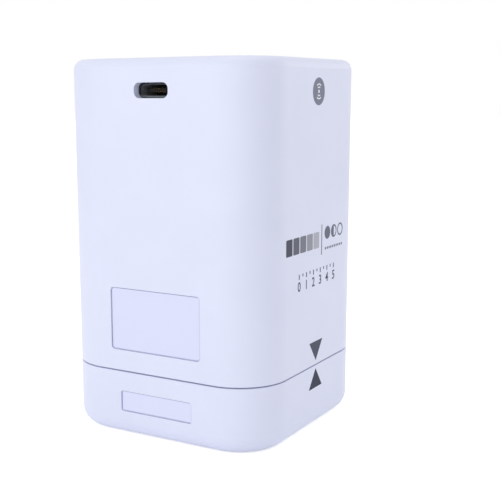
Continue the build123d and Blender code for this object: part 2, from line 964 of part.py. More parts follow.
with BuildPart() as display_panel:
    box(panel_width, panel_length, panel_bottom, panel_top, centre=(0, window_y))
save(display_panel, "display_panel")

with BuildPart() as display_holder:
    rim_width = panel_width + 2 * slip_fit
    rim_length = panel_length + 2 * slip_fit
    box(
        rim_width + 2 * holder_rim,
        rim_length + 2 * holder_rim,
        panel_bottom - holder_plate,
        panel_bottom + holder_rim_height,
        centre=(0, window_y),
    )
    box(
        rim_width,
        rim_length,
        panel_bottom,
        panel_bottom + holder_rim_height,
        Mode.SUBTRACT,
        (0, window_y),
    )
    with BuildSketch(Plane.XY.offset(board_top)) as legs:
        with Locations((0, window_y)):
            leg_x = panel_width - 2 * holder_leg_side_inset
            leg_y = panel_length - 2 * holder_leg_end_inset
            with GridLocations(leg_x, leg_y, 2, 2):
                Circle(holder_leg_radius)
    extrude(legs.sketch, amount=panel_bottom - holder_plate - board_top)
save(display_holder, "display_holder")

# Keys, each held by a lip under the top face and pushed up by its switch


def key(key_x, key_width):
    """A key from its lip to its top, with the stem that presses the switch's plunger."""
    with BuildPart() as piece:
        block(
            key_width,
            key_length,
            key_corner,
            ceiling - thread_gap,
            overall_height + key_proud,
            centre=(key_x, key_y),
        )
        fillet(piece.faces().sort_by(Axis.Z)[-1].edges(), radius=key_edge_round)
        block(
            key_width + 2 * key_lip,
            key_length + 2 * key_lip,
            key_corner + key_lip,
            ceiling - thread_gap - key_flange,
            ceiling - thread_gap,
            centre=(key_x, key_y),
        )
        post(
            key_stem_radius,
            plunger_top,
            ceiling - thread_gap - key_flange,
            places=((key_x, key_y),),
        )
    return piece


def plunger(key_x):
    """The plunger of a key's switch, which goes down with the key."""
    with BuildPart() as piece:
        post(plunger_radius, plunger_bottom, plunger_top, places=((key_x, key_y),))
    return piece


measure_key = key(measure_key_x, measure_key_width)
save(measure_key, "measure_key")
measure_plunger = plunger(measure_key_x)
save(measure_plunger, "measure_plunger")
power_key = key(power_key_x, power_key_width)
save(power_key, "power_key")
power_plunger = plunger(power_key_x)
save(power_plunger, "power_plunger")

# Battery, its tray and its lead

battery_inner_x = -(sphere_outer + tray_gap + tray_wall)
battery_outer_x = -(body_width / 2 - side_wall - battery_side_gap)
battery_x = (battery_inner_x + battery_outer_x) / 2
battery_bottom = flange_top + tray_shelf
battery_top = board_bottom - battery_headroom
shelf_depth = body_depth - 2 * (column_inset + column_radius + battery_column_gap)
battery_width = shelf_depth - 2 * tray_overhang

with BuildPart() as battery_tray:
    with BuildSketch(Plane.XY.offset(flange_top)) as shelf:
        with Locations((battery_outer_x, 0)):
            Rectangle(
                battery_inner_x + tray_wall - battery_outer_x,
                shelf_depth,
                align=(Align.MIN, Align.CENTER),
            )
        with Locations((-ear_offset, ear_offset), (-ear_offset, -ear_offset)):
            Circle(ear_radius)
            Rectangle(
                -battery_inner_x - ear_offset,
                ear_radius,
                align=(Align.MAX, Align.CENTER),
            )
            Circle(standoff_radius + standoff_gap / 2, mode=Mode.SUBTRACT)
        Circle(sphere_outer + tray_gap, mode=Mode.SUBTRACT)
    extrude(shelf.sketch, amount=tray_shelf)
    box(
        tray_wall,
        battery_width,
        flange_top,
        battery_top,
        centre=(battery_inner_x + tray_wall / 2, 0),
    )
save(battery_tray, "battery_tray")

with BuildPart() as battery_cell:
    box(
        battery_inner_x - battery_outer_x,
        battery_width,
        battery_bottom,
        battery_top,
        centre=(battery_x, 0),
    )
    fillet(battery_cell.edges().filter_by(Axis.Z), radius=battery_round)
save(battery_cell, "battery_cell")

plug_z = board_bottom - plug_height / 2
plug_end_x = battery_socket_x - plug_length

with BuildPart() as battery_lead:
    for lead_y in (-lead_spacing / 2, lead_spacing / 2):
        with BuildLine() as route:
            FilletPolyline(
                (battery_x, lead_y, battery_top),
                (battery_x, lead_y, plug_z),
                (plug_end_x, lead_y, plug_z),
                radius=lead_bend,
            )
        with BuildSketch(Plane((battery_x, lead_y, battery_top), x_dir=(1, 0, 0), z_dir=(0, 0, 1))) as wire:
            Circle(lead_radius)
        sweep(wire.sketch, path=route.line)
save(battery_lead, "battery_lead")

with BuildPart() as battery_plug:
    box(
        plug_length,
        plug_width,
        board_bottom - plug_height,
        board_bottom,
        centre=(plug_end_x + plug_length / 2, 0),
    )
save(battery_plug, "battery_plug")

with BuildPart() as battery_socket:
    box(
        battery_socket_length,
        plug_width,
        board_bottom - plug_height,
        board_bottom,
        centre=(battery_socket_x + battery_socket_length / 2, 0),
    )
save(battery_socket, "battery_socket")

# Ribbon cables between the boards, each a bent strip between two sockets

ribbon_lift = ribbon_socket_height / 2
sensor_exit = board_face.origin + barrel_plane.x_dir * (ribbon_socket_length / 2)
sensor_exit += barrel_plane.z_dir * ribbon_lift
sensor_turn = sensor_exit + barrel_plane.x_dir * ribbon_reach
upper_z = board_bottom - ribbon_lift
sensor_ribbon_end = sensor_turn.X - ribbon_reach

with BuildPart() as sensor_ribbon:
    with BuildSketch(Plane.XZ) as strip:
        with BuildLine() as route:
            FilletPolyline(
                (sensor_exit.X, sensor_exit.Z),
                (sensor_turn.X, sensor_turn.Z),
                (sensor_turn.X, upper_z),
                (sensor_ribbon_end, upper_z),
                radius=ribbon_bend,
            )
        trace(route.line, line_width=ribbon_thickness)
    extrude(strip.sketch, amount=ribbon_width / 2, both=True)
save(sensor_ribbon, "sensor_ribbon")

led_board_top = roof_z + led_board_thickness
led_exit_y = led_circle_radius
led_turn_y = body_depth / 2 - side_wall - led_ribbon_wall_gap
led_ribbon_end = led_turn_y - ribbon_reach

with BuildPart() as led_ribbon:
    with BuildSketch(Plane.YZ) as strip:
        with BuildLine() as route:
            FilletPolyline(
                (led_exit_y, led_board_top + ribbon_lift),
                (led_turn_y, led_board_top + ribbon_lift),
                (led_turn_y, upper_z),
                (led_ribbon_end, upper_z),
                radius=led_ribbon_bend,
            )
        trace(route.line, line_width=ribbon_thickness)
    extrude(strip.sketch, amount=ribbon_width / 2, both=True)
save(led_ribbon, "led_ribbon")

panel_edge_y = window_y + panel_length / 2
panel_turn_y = panel_edge_y + slip_fit + holder_rim + ribbon_bend
panel_ribbon_z = (panel_bottom + holder_rim_height + panel_top) / 2
panel_ribbon_end = panel_turn_y - ribbon_reach

with BuildPart() as display_ribbon:
    with BuildSketch(Plane.YZ) as strip:
        with BuildLine() as route:
            FilletPolyline(
                (panel_edge_y, panel_ribbon_z),
                (panel_turn_y, panel_ribbon_z),
                (panel_turn_y, board_top + ribbon_lift),
                (panel_ribbon_end, board_top + ribbon_lift),
                radius=ribbon_bend,
            )
        trace(route.line, line_width=ribbon_thickness)
    extrude(strip.sketch, amount=ribbon_width / 2, both=True)
save(display_ribbon, "display_ribbon")

with BuildPart() as ribbon_sockets:
    with BuildSketch(board_face) as outline:
        Rectangle(ribbon_socket_length, ribbon_width)
    extrude(outline.sketch, amount=ribbon_socket_height)
    box(
        ribbon_socket_length,
        ribbon_width,
        board_bottom - ribbon_socket_height,
        board_bottom,
        centre=(sensor_ribbon_end - ribbon_socket_length / 2, 0),
    )
    box(
        ribbon_width,
        ribbon_socket_length,
        led_board_top,
        led_board_top + ribbon_socket_height,
        centre=(0, led_exit_y - ribbon_socket_length / 2),
    )
    box(
        ribbon_width,
        ribbon_socket_length,
        board_bottom - ribbon_socket_height,
        board_bottom,
        centre=(0, led_ribbon_end - ribbon_socket_length / 2),
    )
    box(
        ribbon_width,
        ribbon_socket_length,
        board_top,
        board_top + ribbon_socket_height,
        centre=(0, panel_ribbon_end - ribbon_socket_length / 2),
    )
save(ribbon_sockets, "ribbon_sockets")
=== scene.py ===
from math import atan2, cos, pi, radians, sin, sqrt

import bpy
from mathutils import Matrix, Vector


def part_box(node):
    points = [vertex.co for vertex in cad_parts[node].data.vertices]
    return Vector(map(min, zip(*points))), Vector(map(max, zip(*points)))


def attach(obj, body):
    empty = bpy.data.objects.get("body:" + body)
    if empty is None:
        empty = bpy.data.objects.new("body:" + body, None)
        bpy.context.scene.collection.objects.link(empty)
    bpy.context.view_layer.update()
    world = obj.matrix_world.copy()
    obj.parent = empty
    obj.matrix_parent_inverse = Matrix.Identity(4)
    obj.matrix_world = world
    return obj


bl_info = {
    "name": "Handheld colour spectrophotometer",
    "version": (1, 0, 0),
    "blender": (4, 5, 0),
    "location": "View3D > Sidebar > Instrument",
    "description": "Dresses the instrument with finishes and printed marks, and sets up its studio",
    "category": "Object",
}

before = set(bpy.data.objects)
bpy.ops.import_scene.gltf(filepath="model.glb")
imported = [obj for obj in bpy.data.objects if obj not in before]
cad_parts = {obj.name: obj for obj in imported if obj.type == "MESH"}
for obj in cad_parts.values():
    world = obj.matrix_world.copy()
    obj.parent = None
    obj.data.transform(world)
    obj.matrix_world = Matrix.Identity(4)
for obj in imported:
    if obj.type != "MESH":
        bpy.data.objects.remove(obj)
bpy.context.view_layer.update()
MM = 0.001


# Sizes and colours that a user would change


class InstrumentColours(bpy.types.PropertyGroup):
    casing: bpy.props.StringProperty(
        name="Casing", description="Hex colour of the moulded casing and cap", default="#E3E7FC"
    )
    tray: bpy.props.StringProperty(
        name="Trays", description="Hex colour of the grey inner mouldings", default="#C9CCD6"
    )
    ink: bpy.props.StringProperty(
        name="Ink", description="Hex colour of the printed marks on the instrument", default="#4C5062"
    )
    cap_ink: bpy.props.StringProperty(
        name="Cap ink", description="Hex colour of the printed mark on the cap", default="#31364A"
    )
    pale_ink: bpy.props.StringProperty(
        name="Pale ink", description="Hex colour of the paler printed marks", default="#6E7182"
    )
    disc: bpy.props.StringProperty(
        name="Radio disc", description="Hex colour of the printed disc", default="#82869A"
    )
    keys: bpy.props.StringProperty(
        name="Keys", description="Hex colour of the two keys", default="#5E6372"
    )


class MarkSizes(bpy.types.PropertyGroup):
    film: bpy.props.FloatProperty(
        name="Film", description="Thickness of the printed ink", default=0.02 * MM, unit="LENGTH", precision=6
    )
    triangle_width: bpy.props.FloatProperty(
        name="Triangle width", description="Width of an alignment triangle", default=7.2 * MM, unit="LENGTH"
    )
    triangle_height: bpy.props.FloatProperty(
        name="Triangle height", description="Height of an alignment triangle", default=4.85 * MM, unit="LENGTH"
    )
    disc_radius: bpy.props.FloatProperty(
        name="Disc radius", description="Radius of the radio disc", default=3.2 * MM, unit="LENGTH"
    )
    wedge_step: bpy.props.FloatProperty(
        name="Wedge step", description="Side of one step of the grey wedge", default=3.9 * MM, unit="LENGTH"
    )
    tone_radius: bpy.props.FloatProperty(
        name="Tone disc radius", description="Radius of the full, half and open discs", default=1.6 * MM,
        unit="LENGTH",
    )
    numeral: bpy.props.FloatProperty(
        name="Numeral", description="Height of the scale's numbers", default=2.3 * MM, unit="LENGTH"
    )


class StudioLevels(bpy.types.PropertyGroup):
    world: bpy.props.FloatProperty(
        name="World", description="Level of the even light from all round", default=0.655
    )
    left: bpy.props.FloatProperty(
        name="Left lamp", description="Power of the lamp before the rear face", default=0.335, unit="POWER"
    )
    middle: bpy.props.FloatProperty(
        name="Middle lamp", description="Power of the lamp before the near corner", default=0.21, unit="POWER"
    )
    right: bpy.props.FloatProperty(
        name="Right lamp", description="Power of the lamp beyond the marked face", default=0.075, unit="POWER"
    )
    back: bpy.props.FloatProperty(
        name="Back lamp", description="Power of the lamp high behind the marked face", default=0.09, unit="POWER"
    )
    top: bpy.props.FloatProperty(
        name="Top lamp", description="Power of the lamp overhead", default=0.27, unit="POWER"
    )


# Colours and nodes


def linear(hex_colour):
    """A hex colour in sRGB as linear red, green, blue and alpha."""
    digits = hex_colour.lstrip("#")
    channels = [int(digits[i : i + 2], 16) / 255 for i in (0, 2, 4)]
    return [c / 12.92 if c <= 0.04045 else ((c + 0.055) / 1.055) ** 2.4 for c in channels] + [1.0]


def shade(hex_colour, factor):
    """A hex colour made a little darker or lighter."""
    digits = hex_colour.lstrip("#")
    channels = [min(255, max(0, round(int(digits[i : i + 2], 16) * factor))) for i in (0, 2, 4)]
    return "#" + "".join(f"{c:02X}" for c in channels)


def add_node(tree, kind, settings=None, to=None, **sockets):
    """Adds a node. Settings are its own fields, or the stops of its ramp as places and hex colours. Sockets are
    values, or nodes and outputs to link. Its first output goes to the socket given in to."""
    node = tree.nodes.new(kind)
    for field, value in (settings or {}).items():
        if field == "stops":
            elements = node.color_ramp.elements
            elements.remove(elements[1])
            elements[0].position, elements[0].color = value[0][0], linear(value[0][1])
            for spot, colour in value[1:]:
                elements.new(spot).color = linear(colour)
        elif field == "interpolation":
            node.color_ramp.interpolation = value
        else:
            setattr(node, field, value)
    for name, value in sockets.items():
        socket = node.inputs[int(name[1:])] if name[1:].isdigit() else node.inputs[name.replace("_", " ")]
        if isinstance(value, bpy.types.Node):
            tree.links.new(value.outputs[0], socket)
        elif isinstance(value, bpy.types.NodeSocket):
            tree.links.new(value, socket)
        else:
            socket.default_value = value
    if to:
        tree.links.new(node.outputs[0], to)
    return node


MATERIALS = {}


def begin(name, **surface):
    """A new material with its surface shader, and the place where its patterns are read."""
    material = bpy.data.materials.new(name)
    material.use_nodes = True
    tree = material.node_tree
    tree.nodes.clear()
    place = add_node(tree, "ShaderNodeTexCoord").outputs["Object"]
    shader = add_node(tree, "ShaderNodeBsdfPrincipled", **surface)
    add_node(tree, "ShaderNodeOutputMaterial", Surface=shader)
    MATERIALS[name] = material
    return tree, place, shader


def from_patterns(tree, shader, tone, stops, height, rough, depth_mm, strength=0.3, stepped=False):
    """Drives a surface from its patterns: tone gives the colour, and height the roughness and the relief."""
    ramp = {"stops": stops, "interpolation": "CONSTANT" if stepped else "LINEAR"}
    add_node(tree, "ShaderNodeValToRGB", ramp, to=shader.inputs["Base Color"], Fac=tone)
    add_node(
        tree, "ShaderNodeMapRange", to=shader.inputs["Roughness"], Value=height, To_Min=rough[0], To_Max=rough[1]
    )
    add_node(
        tree, "ShaderNodeBump", to=shader.inputs["Normal"], Height=height, Strength=strength,
        Distance=depth_mm * MM,
    )


def per_mm(size_mm):
    """The scale at which a pattern repeats at a size in millimetres."""
    return 1 / (size_mm * MM)


WAVE_RADIANS = 20  # how far a wave texture runs in one unit at a scale of one


def wave_per_mm(pitch_mm):
    """The scale at which a wave texture repeats at a pitch in millimetres."""
    return 2 * pi / WAVE_RADIANS * per_mm(pitch_mm)


def border_distance(tree, place, low, high, axes, corner):
    """Distance from the border of a rounded rectangle on two axes, below zero inside it."""
    split = add_node(tree, "ShaderNodeSeparateXYZ", Vector=place)
    beyond = []
    for axis in axes:
        middle, half = (low[axis] + high[axis]) / 2, (high[axis] - low[axis]) / 2
        away = add_node(tree, "ShaderNodeMath", {"operation": "SUBTRACT"}, i0=split.outputs[axis], i1=middle)
        far = add_node(tree, "ShaderNodeMath", {"operation": "ABSOLUTE"}, i0=away)
        beyond.append(add_node(tree, "ShaderNodeMath", {"operation": "SUBTRACT"}, i0=far, i1=half - corner))
    both = add_node(tree, "ShaderNodeCombineXYZ", i0=beyond[0], i1=beyond[1])
    past_corner = add_node(tree, "ShaderNodeVectorMath", {"operation": "MAXIMUM"}, i0=both, i1=(0, 0, 0))
    outside = add_node(tree, "ShaderNodeVectorMath", {"operation": "LENGTH"}, i0=past_corner).outputs["Value"]
    nearest = add_node(tree, "ShaderNodeMath", {"operation": "MAXIMUM"}, i0=beyond[0], i1=beyond[1])
    inside = add_node(tree, "ShaderNodeMath", {"operation": "MINIMUM"}, i0=nearest, i1=0.0)
    total = add_node(tree, "ShaderNodeMath", {"operation": "ADD"}, i0=outside, i1=inside)
    return add_node(tree, "ShaderNodeMath", {"operation": "SUBTRACT"}, i0=total, i1=corner)


def dress(material, *nodes):
    """Gives CAD nodes a material through their own slots."""
    for node in nodes:
        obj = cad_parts[node]
        if not obj.material_slots:
            obj.data.materials.append(MATERIALS[material])
        for slot in obj.material_slots:
            slot.material = MATERIALS[material]


# Finishes, each named for the real material and how it was made


def moulded_plastic(name, colour, rough=0.42, grain_mm=0.35, ior=1.53, gloss=0.5):
    """Injection-moulded plastic: even colour, a faint spark-eroded grain and a soft broad highlight. Its gloss is
    lower where a filler, such as glass fibre, dulls the skin."""
    tree, place, shader = begin(name, IOR=ior, Specular_IOR_Level=gloss)
    flow = add_node(tree, "ShaderNodeTexNoise", Vector=place, Scale=per_mm(14), Detail=2.0)
    eroded = add_node(tree, "ShaderNodeTexNoise", Vector=place, Scale=per_mm(grain_mm), Detail=4.0)
    stops = [(0.35, shade(colour, 0.993)), (0.65, colour)]
    from_patterns(tree, shader, flow, stops, eroded, (rough - 0.05, rough + 0.07), 0.006)


def vinyl_film(name, colour, edge, label, corner_mm):
    """Calendered vinyl: flatter than the casing, with a faint pebble from its roller. A band of painted shade
    darkens it all round its edge, standing in for the shadow of the recess walls it sits between."""
    tree, place, shader = begin(name, IOR=1.52)
    pebble = add_node(tree, "ShaderNodeTexVoronoi", {"feature": "SMOOTH_F1"}, Vector=place, Scale=per_mm(0.4))
    border = border_distance(tree, place, *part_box(label), (0, 2), corner_mm * MM)
    # Painted shade: a band just inside the label's border, standing in for the shadow cast by the recess walls
    shade_from, shade_to = 0.16 * MM, 0.02 * MM
    painted_edge_shade = add_node(
        tree, "ShaderNodeMapRange", {"interpolation_type": "SMOOTHSTEP"}, Value=border,
        From_Min=-shade_from, From_Max=-shade_to,
    )
    stops = [(0.0, colour), (1.0, edge)]
    from_patterns(tree, shader, painted_edge_shade, stops, pebble, (0.5, 0.62), 0.004)


def cellular_foam(name, colour):
    """Closed-cell foam: round pores about half a millimetre across, no shine."""
    tree, place, shader = begin(name, IOR=1.45)
    pores = add_node(tree, "ShaderNodeTexVoronoi", Vector=place, Scale=per_mm(0.5))
    stops = [(0.1, shade(colour, 0.6)), (0.6, shade(colour, 1.4))]
    from_patterns(tree, shader, pores, stops, pores, (0.92, 0.98), 0.15, 0.8)


def glazed_ceramic(name, colour):
    """Glazed tile: a white body under a hard clear glaze with a slight orange-peel."""
    tree, place, shader = begin(name, IOR=1.55, Coat_Weight=1.0, Coat_Roughness=0.03, Coat_IOR=1.55)
    specks = add_node(tree, "ShaderNodeTexNoise", Vector=place, Scale=per_mm(0.5), Detail=5.0)
    peel = add_node(tree, "ShaderNodeTexNoise", Vector=place, Scale=per_mm(2.2), Detail=1.0)
    stops = [(0.3, shade(colour, 0.975)), (0.5, colour)]
    from_patterns(tree, shader, specks, stops, peel, (0.1, 0.2), 0.01, 0.12)


def plated_metal(name, colour, rough, grain_mm=0.12):
    """Plated metal: bright, with a fine haze of varying roughness."""
    tree, place, shader = begin(name, Metallic=1.0)
    cloud = add_node(tree, "ShaderNodeTexNoise", Vector=place, Scale=per_mm(3), Detail=2.0)
    haze = add_node(tree, "ShaderNodeTexNoise", Vector=place, Scale=per_mm(grain_mm), Detail=4.0)
    stops = [(0.35, shade(colour, 0.93)), (0.65, colour)]
    from_patterns(tree, shader, cloud, stops, haze, (rough * 0.7, rough * 1.4), 0.002, 0.2)


def stamped_shell(name, rim, lip, wall, shell):
    """Stamped and plated steel shell with bright drawn walls behind its mouth. The rim round the mouth is painted
    dark, partly as a dull sheared edge and partly as painted shade from the casing's hole, and a painted highlight
    runs along its lower lip where light from above catches it."""
    tree, place, shader = begin(name, Metallic=1.0)
    mouth_y, foot_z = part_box(shell)[0][1:]
    rim_depth, rim_fade = 0.1 * MM, 0.4 * MM
    lip_middle, lip_half = 0.33 * MM, 0.12 * MM
    # The rim is painted dark: partly a dull sheared edge, partly painted shade from the casing's hole edge
    split = add_node(tree, "ShaderNodeSeparateXYZ", Vector=place)
    behind = add_node(
        tree, "ShaderNodeMapRange", Value=split.outputs[1], From_Min=mouth_y + rim_depth,
        From_Max=mouth_y + rim_depth + rim_fade,
    )
    # Painted highlight: a band along the lower lip, lighter where light from above falls on it
    lower_edge = add_node(
        tree, "ShaderNodeMath", {"operation": "COMPARE"}, i0=split.outputs[2], i1=foot_z + lip_middle, i2=lip_half
    )
    painted_lip_highlight = add_node(tree, "ShaderNodeMath", {"operation": "MULTIPLY"}, i0=lower_edge, i1=0.5)
    tone = add_node(tree, "ShaderNodeMath", {"operation": "MAXIMUM"}, i0=behind, i1=painted_lip_highlight)
    haze = add_node(tree, "ShaderNodeTexNoise", Vector=place, Scale=per_mm(0.12), Detail=4.0)
    from_patterns(tree, shader, tone, [(0.0, rim), (0.5, lip), (1.0, wall)], haze, (0.42, 0.58), 0.002, 0.2)


def turned_metal(name, colour, rough, pitch_mm=0.12):
    """Turned bar: fine tool lines along its height catch the light."""
    tree, place, shader = begin(name, Metallic=1.0)
    lines = add_node(
        tree, "ShaderNodeTexWave", {"bands_direction": "Z"}, Vector=place, Scale=wave_per_mm(pitch_mm),
        Distortion=0.6,
    ).outputs["Fac"]
    stops = [(0.35, shade(colour, 0.9)), (0.65, colour)]
    from_patterns(tree, shader, lines, stops, lines, (rough * 0.7, rough * 1.4), 0.004, 0.25)


def diffuse_coating(name, colour):
    """Barium sulphate paint: a dense, chalky, perfectly matt white."""
    tree, place, shader = begin(name, IOR=1.4)
    chalk = add_node(tree, "ShaderNodeTexNoise", Vector=place, Scale=per_mm(0.15), Detail=5.0)
    stops = [(0.35, shade(colour, 0.98)), (0.65, colour)]
    from_patterns(tree, shader, chalk, stops, chalk, (0.97, 1.0), 0.02, 0.4)


def anodised_aluminium(name, colour):
    """Bead-blasted and anodised aluminium: satin metal under a dyed oxide."""
    tree, place, shader = begin(name, Metallic=0.85)
    beads = add_node(tree, "ShaderNodeTexNoise", Vector=place, Scale=per_mm(0.1), Detail=4.0)
    stops = [(0.35, shade(colour, 0.85)), (0.65, shade(colour, 1.15))]
    from_patterns(tree, shader, beads, stops, beads, (0.36, 0.5), 0.006, 0.35)


def optical_glass(name):
    """Polished, coated lens glass with a trace of coating haze."""
    tree, place, shader = begin(name, IOR=1.52, Transmission_Weight=1.0, Base_Color=linear("#E6F2F0"))
    haze = add_node(tree, "ShaderNodeTexNoise", Vector=place, Scale=per_mm(2), Detail=2.0)
    add_node(
        tree, "ShaderNodeMapRange", to=shader.inputs["Roughness"], Value=haze, To_Min=0.01, To_Max=0.04
    )


def display_glass(name):
    """Toughened cover glass with an anti-reflection coat, printed black behind. The panel, a shade lighter,
    shows through its clear area."""
    tree, place, shader = begin(name, IOR=1.5, Specular_IOR_Level=0.22)
    low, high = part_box("display_panel")
    border = border_distance(tree, place, low, high, (0, 1), 0.6 * MM)
    black_width, blur = 1.7 * MM, 0.1 * MM
    clear = add_node(
        tree, "ShaderNodeMapRange", Value=border, From_Min=-black_width, From_Max=-black_width - blur
    )
    add_node(
        tree, "ShaderNodeValToRGB", {"stops": [(0.0, "#08090C"), (1.0, "#1B1F27")]},
        to=shader.inputs["Base Color"], Fac=clear,
    )
    smears = add_node(tree, "ShaderNodeTexNoise", Vector=place, Scale=per_mm(6), Detail=3.0, Distortion=0.8)
    add_node(
        tree, "ShaderNodeMapRange", to=shader.inputs["Roughness"], Value=smears, To_Min=0.05, To_Max=0.11
    )


def solder_mask(name, colour, track):
    """Glass-fibre board under solder mask: copper tracks show as a paler, raised maze."""
    tree, place, shader = begin(name, IOR=1.5, Coat_Weight=0.4, Coat_Roughness=0.2)
    maze = add_node(
        tree, "ShaderNodeTexVoronoi", {"distance": "CHEBYCHEV", "feature": "F2"}, Vector=place, Scale=per_mm(1.6)
    )
    tracks = add_node(tree, "ShaderNodeMath", {"operation": "PINGPONG"}, i0=maze, i1=0.12)
    from_patterns(tree, shader, tracks, [(0.045, colour), (0.06, track)], tracks, (0.3, 0.42), 0.035, 0.5)


def moulded_epoxy(name, colour):
    """Moulded epoxy chip body: dark and matt, with a fine filler grain."""
    tree, place, shader = begin(name, IOR=1.5)
    filler = add_node(tree, "ShaderNodeTexNoise", Vector=place, Scale=per_mm(0.08), Detail=4.0)
    stops = [(0.35, shade(colour, 0.8)), (0.65, shade(colour, 1.3))]
    from_patterns(tree, shader, filler, stops, filler, (0.5, 0.7), 0.006, 0.4)


def laminated_pouch(name, colour):
    """Laminated aluminium pouch: a dull silver film with soft creases."""
    tree, place, shader = begin(name, Metallic=0.9)
    creases = add_node(
        tree, "ShaderNodeTexNoise", Vector=place, Scale=per_mm(5), Detail=3.0, Distortion=1.2
    )
    stops = [(0.35, shade(colour, 0.9)), (0.65, colour)]
    from_patterns(tree, shader, creases, stops, creases, (0.28, 0.45), 0.12, 0.35)


def polyimide_ribbon(name, colour, track):
    """Polyimide film over copper: parallel tracks half a millimetre apart show through the amber."""
    tree, place, shader = begin(name, IOR=1.7, Coat_Weight=0.3, Coat_Roughness=0.15)
    lanes = add_node(
        tree, "ShaderNodeTexWave", {"bands_direction": "X"}, Vector=place, Scale=wave_per_mm(0.5)
    ).outputs["Fac"]
    from_patterns(tree, shader, lanes, [(0.45, colour), (0.55, track)], lanes, (0.25, 0.35), 0.02, 0.4)


def led_silicone(name, colour):
    """Silicone over phosphor: a yellow dome of gel with suspended grains."""
    tree, place, shader = begin(name, IOR=1.41, Subsurface_Weight=0.2, Coat_Weight=0.5)
    grains = add_node(tree, "ShaderNodeTexNoise", Vector=place, Scale=per_mm(0.1), Detail=4.0)
    stops = [(0.35, shade(colour, 0.9)), (0.65, colour)]
    from_patterns(tree, shader, grains, stops, grains, (0.2, 0.35), 0.01, 0.2)


def pad_ink(name, colour):
    """Pad-printed ink: a thin matt film, flatter than the plastic, with a faintly ragged density."""
    tree, place, shader = begin(name, IOR=1.5, Specular_IOR_Level=0.2)
    screen = add_node(tree, "ShaderNodeTexNoise", Vector=place, Scale=per_mm(0.12), Detail=4.0)
    stops = [(0.35, shade(colour, 0.95)), (0.65, shade(colour, 1.04))]
    from_patterns(tree, shader, screen, stops, screen, (0.55, 0.68), 0.003, 0.2)


def graded_ink(name, start_mm, step_mm, tones):
    """Pad-printed ink in even steps of grey along the casing's side."""
    tree, place, shader = begin(name, IOR=1.5, Specular_IOR_Level=0.2)
    along = add_node(tree, "ShaderNodeSeparateXYZ", Vector=place).outputs[1]
    share = add_node(
        tree, "ShaderNodeMapRange", Value=along, From_Min=start_mm * MM,
        From_Max=(start_mm + step_mm * len(tones)) * MM,
    )
    screen = add_node(tree, "ShaderNodeTexNoise", Vector=place, Scale=per_mm(0.12), Detail=4.0)
    stops = [(i / len(tones), tone) for i, tone in enumerate(tones)]
    from_patterns(tree, shader, share, stops, screen, (0.55, 0.68), 0.003, 0.2, stepped=True)


# Mesh work, done as by hand


def leave_edit():
    """Closes the mesh that is open in edit mode, if there is one."""
    if bpy.context.mode != "OBJECT":
        bpy.ops.object.mode_set(mode="OBJECT")


def start(adder, name, **options):
    """Adds a primitive with nothing else selected, names it and opens it in edit mode."""
    leave_edit()
    bpy.ops.object.select_all(action="DESELECT")
    adder(**options)
    obj = bpy.context.object
    obj.name = obj.data.name = name
    bpy.ops.object.mode_set(mode="EDIT")
    return obj


def flat_disc(name, radius, sides=64):
    """A flat disc, open in edit mode."""
    return start(bpy.ops.mesh.primitive_circle_add, name, vertices=sides, radius=radius, fill_type="NGON")


def flat_ring(name, radius, width):
    """A flat ring whose outer radius and width are given, open in edit mode."""
    obj = flat_disc(name, radius)
    bpy.ops.mesh.select_all(action="SELECT")
    bpy.ops.mesh.inset(thickness=width)
    bpy.ops.mesh.delete(type="FACE")
    return obj


def flat_arc(name, radius, width, middle, half_angle):
    """A flat arc about the origin, open in edit mode. It is made of the ring's whole sides, of 5.6 degrees each,
    whose centres lie within half_angle of its middle direction."""
    obj = flat_ring(name, radius, width)
    bpy.ops.mesh.select_mode(type="FACE")
    bpy.ops.mesh.select_all(action="DESELECT")
    leave_edit()
    for face in obj.data.polygons:
        off_middle = atan2(face.center.y, face.center.x) - middle
        face.select = cos(off_middle) < cos(half_angle)
    bpy.ops.object.mode_set(mode="EDIT")
    bpy.ops.mesh.delete(type="FACE")
    bpy.ops.mesh.select_mode(type="VERT")
    return obj


def flat_plate(name, width, height, corner, centre=(0, 0)):
    """A flat rectangle with rounded corners, open in edit mode."""
    obj = start(bpy.ops.mesh.primitive_plane_add, name, size=1)
    bpy.ops.transform.resize(value=(width, height, 1), center_override=(0, 0, 0))
    bpy.ops.mesh.select_all(action="SELECT")
    bpy.ops.mesh.bevel(offset=corner, segments=4, affect="VERTICES")
    bpy.ops.mesh.select_all(action="SELECT")
    bpy.ops.transform.translate(value=(*centre, 0))
    return obj


DIGIT_HEIGHT = 0.73  # height of a digit at a text size of one


def flat_numeral(number, height, foot):
    """A plain number as a flat mesh, centred over its foot and a little bolder than the plain face."""
    leave_edit()
    bpy.ops.object.select_all(action="DESELECT")
    bpy.ops.object.text_add(radius=height / DIGIT_HEIGHT)
    text = bpy.context.object.data
    text.body = str(number)
    text.align_x = "CENTER"
    text.offset = 0.02 * height
    bpy.ops.object.convert(target="MESH")
    bpy.ops.object.mode_set(mode="EDIT")
    bpy.ops.mesh.select_all(action="SELECT")
    bpy.ops.mesh.remove_doubles(threshold=0.001 * MM)
    bpy.ops.transform.translate(value=(*foot, 0))
    return bpy.context.object


def repeat(times, pitch):
    """Copies what is selected in the open mesh, one pitch further on each time."""
    for _ in range(times):
        bpy.ops.mesh.duplicate_move(TRANSFORM_OT_translate={"value": (pitch, 0, 0)})


def joined(name, parts):
    """Joins flat meshes into one object, open in edit mode."""
    leave_edit()
    bpy.ops.object.select_all(action="DESELECT")
    for part in parts:
        part.select_set(True)
    whole = parts[0]
    bpy.context.view_layer.objects.active = whole
    if len(parts) > 1:
        bpy.ops.object.join()
    whole.name = whole.data.name = name
    bpy.ops.object.mode_set(mode="EDIT")
    bpy.ops.mesh.select_all(action="SELECT")
    return whole


def duplicate(obj, name):
    """A copy of an object with its own mesh."""
    copy = obj.copy()
    copy.data = obj.data.copy()
    copy.name = copy.data.name = name
    bpy.context.scene.collection.objects.link(copy)
    return copy


